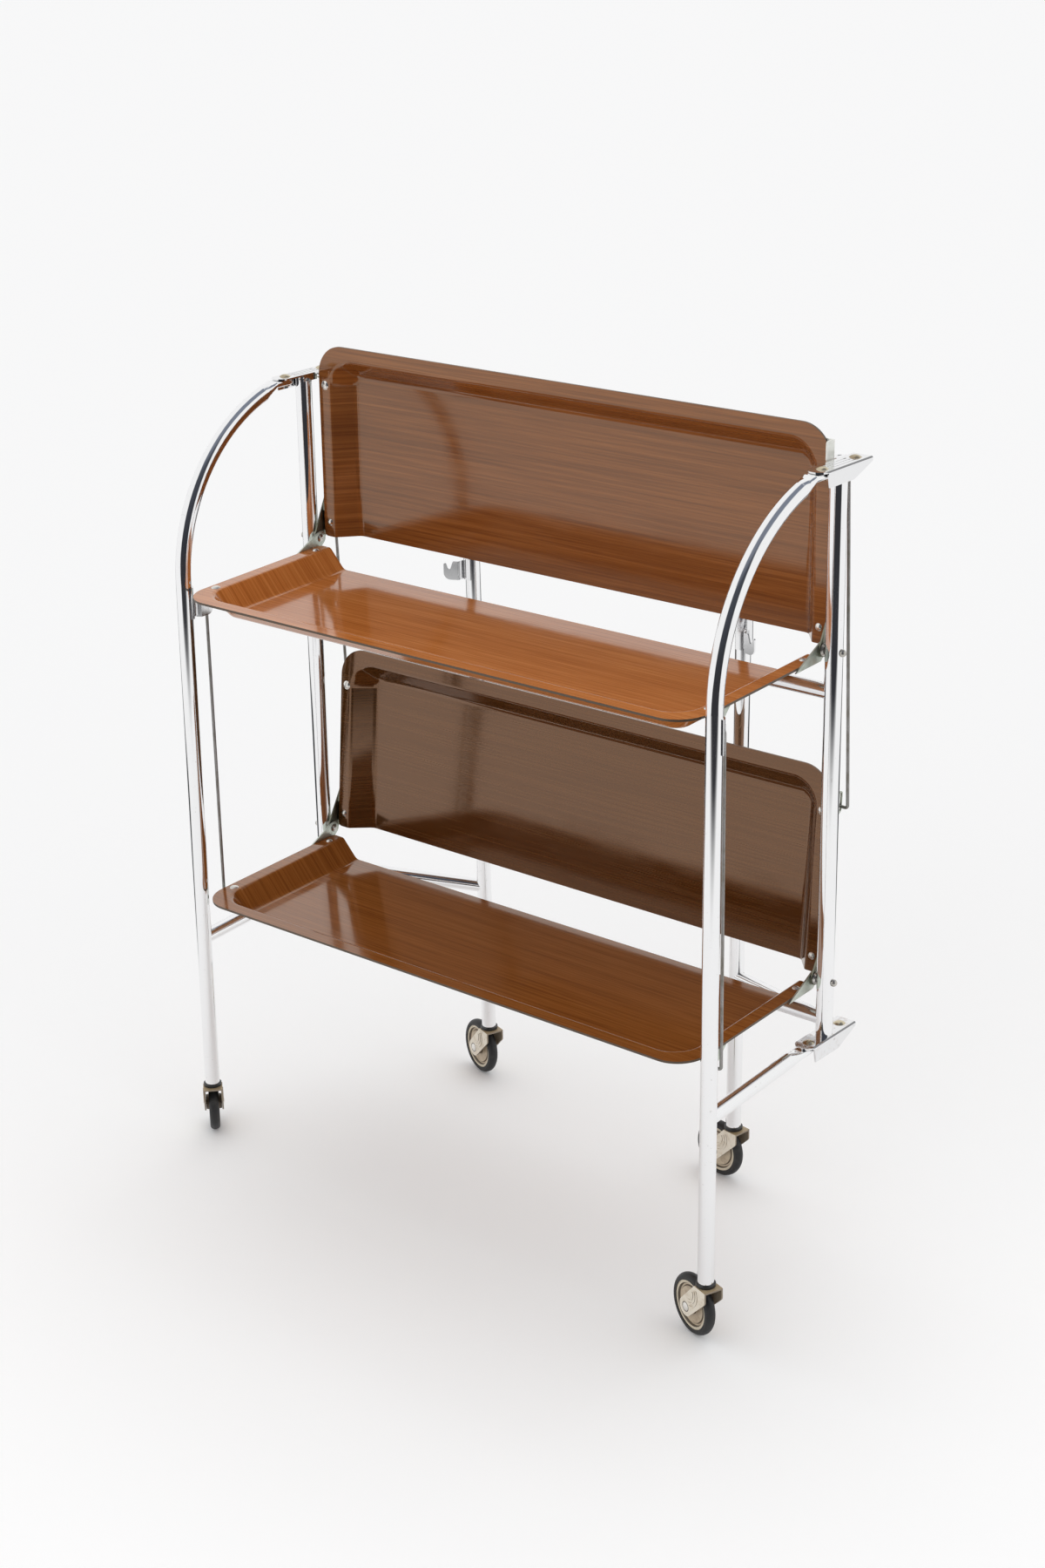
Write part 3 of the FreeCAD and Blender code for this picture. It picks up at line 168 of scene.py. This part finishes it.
class Shader:
    """The nodes of one material or world."""

    def __init__(self, owner):
        owner.use_nodes = True
        self.tree = owner.node_tree
        self.tree.nodes.clear()

    def add(self, kind, settings=None, values=None, output=0):
        """Adds a node: its settings first, then the values or links of its sockets."""
        node = self.tree.nodes.new(kind)
        for name, setting in (settings or {}).items():
            if name == "stops":
                self.set_stops(node.color_ramp.elements, setting)
            else:
                setattr(node, name, setting)
        for name, value in (values or {}).items():
            socket = node.inputs[name]
            if isinstance(value, Value):
                self.tree.links.new(value.socket, socket)
            elif socket.type == "RGBA":
                socket.default_value = (*value, 1)
            else:
                socket.default_value = value
        return Value(self, node.outputs[output]) if len(node.outputs) else None

    def set_stops(self, ramp, stops):
        while len(ramp) < len(stops):
            ramp.new(0.5)
        for stop, (place, colour) in zip(ramp, stops):
            stop.position = place
            stop.color = (*colour, 1)

    def place(self, scale=(1, 1, 1), shift=(0, 0, 0)):
        """The object's own coordinates, scaled and shifted."""
        spot = self.add("ShaderNodeTexCoord", output="Object")
        return self.add("ShaderNodeMapping", {"vector_type": "POINT"},
                        {"Vector": spot, "Scale": scale, "Location": shift})

    def normal(self):
        return self.add("ShaderNodeTexCoord", output="Normal")

    def ray(self, kind):
        """1 where the light path is of this kind, such as Camera or Glossy."""
        return self.add("ShaderNodeLightPath", output=f"Is {kind} Ray")

    def split(self, vector):
        """The three parts of a vector."""
        node = self.add("ShaderNodeSeparateXYZ", {}, {0: vector}).socket.node
        return [Value(self, socket) for socket in node.outputs]

    def vector(self, operation, *values):
        """Vector Math, which gives a number for a dot product and for a length."""
        output = "Value" if operation in ("DOT_PRODUCT", "LENGTH") else "Vector"
        return self.add("ShaderNodeVectorMath", {"operation": operation},
                        dict(enumerate(values)), output)

    def noise(self, scale, detail, rough, where=None, bend=0.0):
        """Noise over the piece's own coordinates, unless it is told where."""
        where = self.place() if where is None else where
        return self.add("ShaderNodeTexNoise", {},
                        {"Vector": where, "Scale": scale, "Detail": detail, "Roughness": rough,
                         "Distortion": bend})

    def step(self, value, low, high, start=0.0, end=1.0):
        """A smooth step: start below low, end above high."""
        return self.add("ShaderNodeMapRange", {"interpolation_type": "SMOOTHSTEP", "clamp": True},
                        {"Value": value, "From Min": low, "From Max": high,
                         "To Min": start, "To Max": end})

    def mix(self, mask, first, second):
        """The first colour, and the second one where the mask is 1."""
        return self.add("ShaderNodeMix", {"data_type": "RGBA"},
                        {0: mask, 6: first, 7: second}, output=2)

    def ramp(self, value, stops):
        return self.add("ShaderNodeValToRGB", {"stops": stops}, {0: value})

    def bump(self, height, strength, distance):
        return self.add("ShaderNodeBump", {},
                        {"Height": height, "Strength": strength, "Distance": distance})

    def surface(self, **sockets):
        """The principled surface, its sockets named as base_color or ior, and the output."""
        values = {name.replace("_", " ").title().replace("Ior", "IOR"): value
                  for name, value in sockets.items()}
        body = self.add("ShaderNodeBsdfPrincipled", {}, values)
        self.add("ShaderNodeOutputMaterial", {}, {"Surface": body})


def new_finish(name):
    material = bpy.data.materials.new(name)
    return material, Shader(material)


def dress(material, *names):
    """Gives a finish to CAD nodes."""
    for name in names:
        mesh = frame["nodes"][name].data
        if not mesh.materials:
            mesh.materials.append(material)
        for index in range(len(mesh.materials)):
            mesh.materials[index] = material


# ---------------------------------------------------------------- finishes

def chrome(name, tint=CHROME, haze=0.03):
    """Polished chrome with faint wiping marks and a few specks."""
    material, s = new_finish(name)
    wiped = s.noise(scale=6, detail=4, rough=0.6, where=s.place((9, 9, 2.2)))
    specks = s.step(s.noise(scale=420, detail=2, rough=0.5), 0.70, 0.76)
    s.surface(base_color=s.mix(specks * 0.35, tint, CHROME_SPECK), metallic=1.0,
              roughness=s.step(wiped, 0.35, 0.75, haze, haze + 0.07))
    return material


def pressed_chrome(name, rust=0.0):
    """Chromed pressing with painted shade on its bends and pressed lines, and rust on its top."""
    material, s = new_finish(name)
    _, _, upright = s.split(s.normal())
    bend = (upright > BEND_FACE[0]) * (upright < BEND_FACE[1])
    # painted shade: every face that slopes, on bends, pressed lines and the hooks' slanted parts,
    # is darkened
    colour = s.mix(bend * 0.75, PRESSED_CHROME, BEND_SHADE)
    wiped = s.noise(scale=3, detail=4, rough=0.65, where=s.place((30, 30, 12)))
    rough = s.step(wiped, 0.35, 0.75, 0.06, 0.18)
    if rust:
        _, along, _ = s.split(s.place())
        patches = s.noise(scale=130, detail=4, rough=0.65)
        stained = s.step(patches, 0.60 - rust * 0.16, 0.74 - rust * 0.12)
        on_top = s.step(upright, 0.5, 0.9, 0.12, 1)
        in_front = s.step(along, -0.005, 0.02, 1, 0.35)
        worn = stained * on_top * in_front
        pitted = s.step(s.noise(scale=260, detail=3, rough=0.6), 0.66, 0.74)
        colour = s.mix(worn * 0.75, colour, RUST)
        colour = s.mix(pitted * 0.45, colour, RUST_PIT)
        rough = rough + worn * 0.35
    s.surface(base_color=colour, metallic=1.0, roughness=rough)
    return material


def plated(name, tint, dull, stain=(0.2, 0.18, 0.13), amount=0.5, metal=1.0):
    """Zinc, nickel or steel, dulled and stained unevenly."""
    material, s = new_finish(name)
    cloud = s.noise(scale=70, detail=4, rough=0.6)
    grain = s.noise(scale=900, detail=2, rough=0.5)
    s.surface(base_color=s.mix(s.step(cloud, 0.42, 0.72) * amount, tint, stain), metallic=metal,
              roughness=s.step(cloud, 0.3, 0.7, dull, dull + 0.2),
              normal=s.bump(grain, 0.15, 0.0003))
    return material


def teak(name, tilt, start, light, mid, dark, sheen=(1.0, 0.82, 0.62), ior=1.5):
    """Glossy teak laminate: fine fibres over a faint figure, and a dark sheet edge.

    The fibres run along X, also down the end slopes, because only the leaf's own cross axis
    parts them: Y on a leaf that lies and Z on one that stands.
    """
    material, s = new_finish(name)
    slope = math.radians(tilt)
    upper_side = (0, -math.sin(slope), math.cos(slope))
    lies = tilt < 45

    def grain(length, width, detail, rough, bend=0.0):
        scale = (length, width, 0) if lies else (length, 0, width)
        return s.noise(1, detail, rough, s.place(scale, (start, start, start)), bend)

    figure = grain(length=1.4, width=17, detail=3, rough=0.5, bend=1.1)
    streak = grain(length=4.5, width=290, detail=2, rough=0.5, bend=0.15)
    fibre = grain(length=9, width=700, detail=3, rough=0.6)
    pores = s.step(grain(length=16, width=1100, detail=2, rough=0.5), 0.60, 0.72)
    colour = s.ramp(figure * 0.20 + streak * 0.32 + fibre * 0.48,
                    [(0.38, dark), (0.50, mid), (0.61, light)])
    colour = s.mix(pores * 0.30, colour, tuple(part / 2 for part in dark))

    facing = s.vector("DOT_PRODUCT", s.normal(), upper_side)
    edge = abs(facing) < SHEET_EDGE
    under = facing < -SHEET_EDGE
    colour = s.mix(edge, colour, TEAK_EDGE)
    colour = s.mix(under * 0.35, colour, TEAK_UNDERSIDE)
    smear = s.noise(scale=4, detail=4, rough=0.65, where=s.place((3, 9, 9)))
    waves = s.noise(scale=26, detail=2, rough=0.5)
    s.surface(base_color=colour, roughness=s.step(smear, 0.35, 0.75, 0.09, 0.16) + edge * 0.3,
              specular_ior_level=1.0, specular_tint=sheen, ior=ior,
              coat_weight=0.2, coat_roughness=0.05, normal=s.bump(waves, 0.03, 0.002))
    return material


def rubber(name):
    """Black rubber with dust on it."""
    material, s = new_finish(name)
    dust = s.noise(scale=60, detail=4, rough=0.65)
    s.surface(base_color=s.mix(s.step(dust, 0.45, 0.8) * 0.6, RUBBER, RUBBER_DUST),
              roughness=s.step(dust, 0.3, 0.8, 0.42, 0.7))
    return material


def black_plastic(name):
    """Black plastic, a little uneven."""
    material, s = new_finish(name)
    cloud = s.noise(scale=120, detail=3, rough=0.6)
    s.surface(base_color=s.mix(cloud, *BLACK_PLASTIC), roughness=0.4)
    return material


def around_axle(s, corner):
    """Distance from a caster's axle, and how squarely a surface faces out along it."""
    roll = corner + "_wheel_roll"
    axle = next(joint for joint in frame["joints"] if joint["name"] == roll)
    away = s.vector("SUBTRACT", s.place(), axle["pos_m"])
    radius = s.vector("LENGTH", s.vector("CROSS_PRODUCT", away, axle["axis"]))
    side = (s.vector("DOT_PRODUCT", away, axle["axis"]) > 0) * 2 - 1
    return radius, s.vector("DOT_PRODUCT", s.normal(), axle["axis"]) * side


def fork_zinc(corner):
    """Yellowed zinc: pale cheeks, painted shade along the ribs and on the cheeks' inner faces, a
    brownish plate with a painted shadow under it, a bright axle head.
    """
    material, s = new_finish(corner + "_fork_zinc")
    radius, facing = around_axle(s, corner)
    _, _, upright = s.split(s.normal())
    cloud = s.noise(scale=160, detail=4, rough=0.65)
    cheek = s.mix(s.step(cloud, 0.45, 0.75) * 0.5, CHEEK, CHEEK_STAIN)
    # painted shade on every cheek face that doesn't look squarely out along the axle: inner
    # faces, rib slopes and edges
    colour = s.mix(s.step(facing, 0.80, 0.985, 1, 0) * 0.8, cheek, CHEEK_SHADE)
    colour = s.mix(upright > PLATE_FACE, colour, s.mix(cloud, *FORK_PLATE))
    # painted shadow on the downward faces under the plate
    colour = s.mix(upright < -PLATE_FACE, colour, FORK_UNDERSIDE_SHADOW)
    groove = (radius < HEAD_GROOVE_R) * (facing > 0.5)
    colour = s.mix(groove * 0.8, colour, HEAD_GROOVE)
    head = radius < AXLE_HEAD_R
    colour = s.mix(head, colour, AXLE_HEAD)
    s.surface(base_color=colour, metallic=head * 0.8 + 0.10,
              roughness=s.step(cloud, 0.3, 0.7, 0.30, 0.45))
    return material


def hub_plastic(corner):
    """Aged cream plastic with painted shade on the walls of its steps and a paler rim."""
    material, s = new_finish(corner + "_hub_plastic")
    radius, facing = around_axle(s, corner)
    stains = s.step(s.noise(scale=110, detail=5, rough=0.7), 0.42, 0.72)
    specks = s.step(s.noise(scale=520, detail=3, rough=0.6), 0.60, 0.72)
    # painted shade on the step walls, which face across the axle
    step_shade = s.step(abs(facing), 0.80, 0.97, 1, 0)
    colour = s.mix(stains * 0.6, HUB_CREAM, HUB_STAIN)
    colour = s.mix(s.step(radius, *HUB_RIM_R) * 0.8, colour, HUB_RIM)
    colour = s.mix(specks * 0.45, colour, HUB_SPECK)
    colour = s.mix(step_shade * 0.85, colour, HUB_STEP_SHADE)
    s.surface(base_color=colour, roughness=0.42)
    return material


def dress_trolley():
    """Gives every CAD piece its finish."""
    polished = chrome("polished_chrome")
    dress(polished, "left_post", "right_post")
    for corner in CORNERS:
        dress(polished, corner + "_leg", corner + "_rail")
    dress(pressed_chrome("pressed_chrome"), "top_left_bracket", "top_right_bracket")
    dress(pressed_chrome("rusty_chrome", rust=0.8), "bottom_left_bracket", "bottom_right_bracket")
    dress(chrome("crossbar_chrome", DULL_CHROME, haze=0.08), "upper_crossbar", "lower_crossbar")
    dress(plated("tarnished_nickel", (0.66, 0.58, 0.42), dull=0.2,
                 stain=(0.22, 0.14, 0.07), amount=0.7), "pivot_rivets")
    dress(plated("pin_steel", (0.62, 0.60, 0.56), dull=0.25), "hinge_pins", "hinge_washers")
    rod = plated("rod_steel", (0.34, 0.33, 0.32), dull=0.25)
    for corner in CORNERS:
        dress(rod, corner + "_rod")
    dress(plated("latch_steel", (0.90, 0.91, 0.86), dull=0.25,
                 stain=(0.6, 0.6, 0.52), amount=0.3, metal=0.4), "latch_tab")

    zinc = plated("green_zinc", (0.58, 0.62, 0.55), dull=0.3, stain=(0.24, 0.25, 0.20))
    dark_zinc = plated("olive_zinc", (0.26, 0.26, 0.20), dull=0.3, stain=(0.10, 0.10, 0.07))
    nickel = plated("bright_nickel", (0.84, 0.82, 0.78), dull=0.2,
                    stain=(0.5, 0.46, 0.38), amount=0.3)
    for leaf, wood in TEAK.items():
        dress(zinc if leaf.startswith("front") else dark_zinc, leaf + "_hinges")
        dress(zinc, leaf + "_rod_lugs")
        dress(nickel, leaf + "_rivets")
        dress(teak("teak_" + leaf.removesuffix("_leaf"), **wood), leaf)

    hook = pressed_chrome("hook_chrome")
    black = black_plastic("black_plastic")
    tyre = rubber("tyre_rubber")
    for corner in CORNERS:
        dress(hook, corner + "_hook")
        dress(black, corner + "_ferrule")
        dress(fork_zinc(corner), corner + "_caster_fork")
        dress(hub_plastic(corner), corner + "_wheel")
        dress(tyre, corner + "_tyre")


# ---------------------------------------------------------------- floor, light and camera

def dark_end(across, along):
    """Distances towards the room's dark end, and beside the line that leads there."""
    turn = math.radians(DARK_END)
    towards = across * math.sin(turn) - along * math.cos(turn)
    beside = across * math.cos(turn) + along * math.sin(turn)
    return towards, abs(beside)


def make_floor():
    """White paper that keeps the trolley's shadow, with the bare floor that chrome mirrors."""
    bpy.ops.object.select_all(action="DESELECT")
    bpy.ops.mesh.primitive_circle_add(vertices=FLOOR_SIDES, radius=FLOOR_RADIUS,
                                      fill_type="NGON", location=(0, 0, 0))
    floor = bpy.context.object
    floor.name = "paper_floor"
    material, s = new_finish("white_paper")
    across, along, _ = s.split(s.place())
    towards, beside = dark_end(across, along)
    beyond = towards.maths("MAXIMUM", towards - PAPER_END[1], 0)
    bare_end = (s.step(towards, *PAPER_END)
                * s.step(beside - beyond * DARK_SPREAD, *PAPER_SIDE, 1, 0))
    bare_sides = (s.step(towards, *ROLL_START, 1, 0)
                  * s.step(beside, *ROLL_SIDE) * s.step(beside, *ROLL_WINGS, 1, 0))
    colour = s.mix((bare_end + bare_sides) * s.ray("Glossy"), PAPER_WHITE, BARE_FLOOR)
    glow = s.mix(s.step(towards, *GLOW_START) * s.ray("Camera"), (0, 0, 0), (PAPER_GLOW,) * 3)
    s.surface(base_color=colour, roughness=0.9, specular_ior_level=0.0,
              emission_color=glow, emission_strength=1.0)
    floor.data.materials.append(material)


def light_room():
    """An even white room, whose ceiling and dark end only chrome and lacquer mirror."""
    world = bpy.data.worlds.new("white_room")
    bpy.context.scene.world = world
    s = Shader(world)
    across, along, up = s.split(s.add("ShaderNodeTexCoord", output="Generated"))
    towards, beside = dark_end(across, along)
    ceiling = s.step(up, *CEILING_START) * s.step(across, *CEILING_SIDE)
    dark = s.step(towards * DARK_SPREAD - beside, *WALL_EDGE)
    colour = s.mix(ceiling * s.ray("Glossy"), ROOM_WHITE, CEILING_GREY)
    colour = s.mix(dark * s.ray("Glossy"), colour, s.ramp(up, DARK_WALL))
    seen = s.ray("Camera") + s.ray("Glossy")
    strength = ROOM_LIGHT + seen * (ROOM_SEEN - ROOM_LIGHT)
    room = s.add("ShaderNodeBackground", {}, {"Color": colour, "Strength": strength})
    s.add("ShaderNodeOutputWorld", {}, {"Surface": room})


def hang_sun():
    """A wide soft light from behind, above and the left, for the shadow on the floor."""
    sun = bpy.data.lights.new("soft_sun", "SUN")
    sun.energy = SUN_STRENGTH
    sun.angle = math.radians(SUN_SPREAD)
    holder = bpy.data.objects.new("soft_sun", sun)
    bpy.context.scene.collection.objects.link(holder)
    holder.rotation_euler = [math.radians(turn) for turn in SUN_TURN]
    holder.visible_glossy = False


def make_camera():
    lens = bpy.data.cameras.new("camera")
    lens.sensor_fit = "AUTO"
    lens.sensor_width = SENSOR
    lens.lens = CAMERA_LENS
    lens.clip_start, lens.clip_end = CAMERA_SEES
    camera = bpy.data.objects.new("camera", lens)
    bpy.context.scene.collection.objects.link(camera)
    camera.location = CAMERA_SPOT
    camera.rotation_euler = [math.radians(turn) for turn in CAMERA_TURN]
    bpy.context.scene.camera = camera


dress_trolley()
make_floor()
light_room()
hang_sun()
make_camera()
bpy.context.scene.view_settings.view_transform = "Standard"
